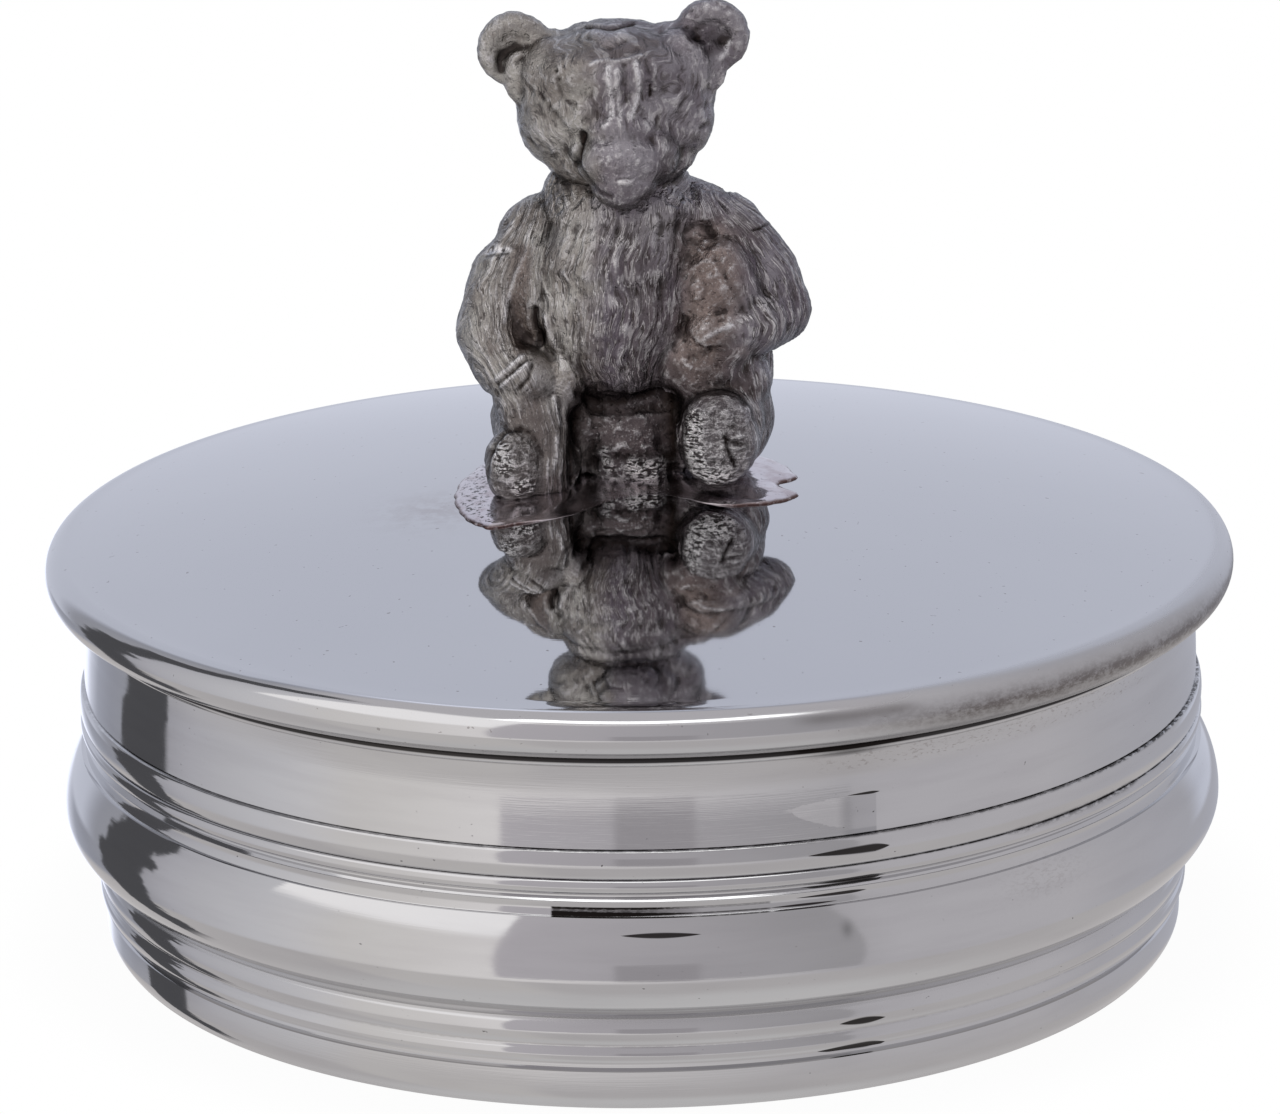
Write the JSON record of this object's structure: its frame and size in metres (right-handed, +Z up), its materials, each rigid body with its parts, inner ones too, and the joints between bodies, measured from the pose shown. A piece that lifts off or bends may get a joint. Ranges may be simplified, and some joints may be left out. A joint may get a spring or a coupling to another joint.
{
  "type": "trinket box",
  "caption": "Round metal trinket box on a reeded foot, with a swelling belly, a lift-off domed lid and a cast sitting bear as its knob.",
  "frame": {"origin": "centre of the foot's underside, on the surface that the box stands on", "axes": "+Z up through the lid and the bear, -Y to the front, where the bear faces"},
  "size_m": [0.076, 0.076, 0.0604],
  "materials": {
    "polished_pewter": "polished, with dirt in the turned lines",
    "satin_pewter": "satin, turned",
    "antiqued_pewter": "cast and darkened, worn bright on the high points",
    "solder": "bright, flowed"
  },
  "bodies": {
    "box": {"foot_ring": "polished_pewter", "floor_disc": "satin_pewter", "belly_ring": "polished_pewter", "reed_ring": "polished_pewter", "mouth_band": "polished_pewter"},
    "lid": {"lid_plate": "polished_pewter", "lid_collar": "satin_pewter", "solder_puddle": "solder", "bear_finial": "antiqued_pewter"}
  },
  "joints": [
    {"name": "lid_lift", "type": "slide", "parent": "box", "child": "lid", "axis": [0, 0, 1], "range_m": [0, 0.045]}
  ]
}
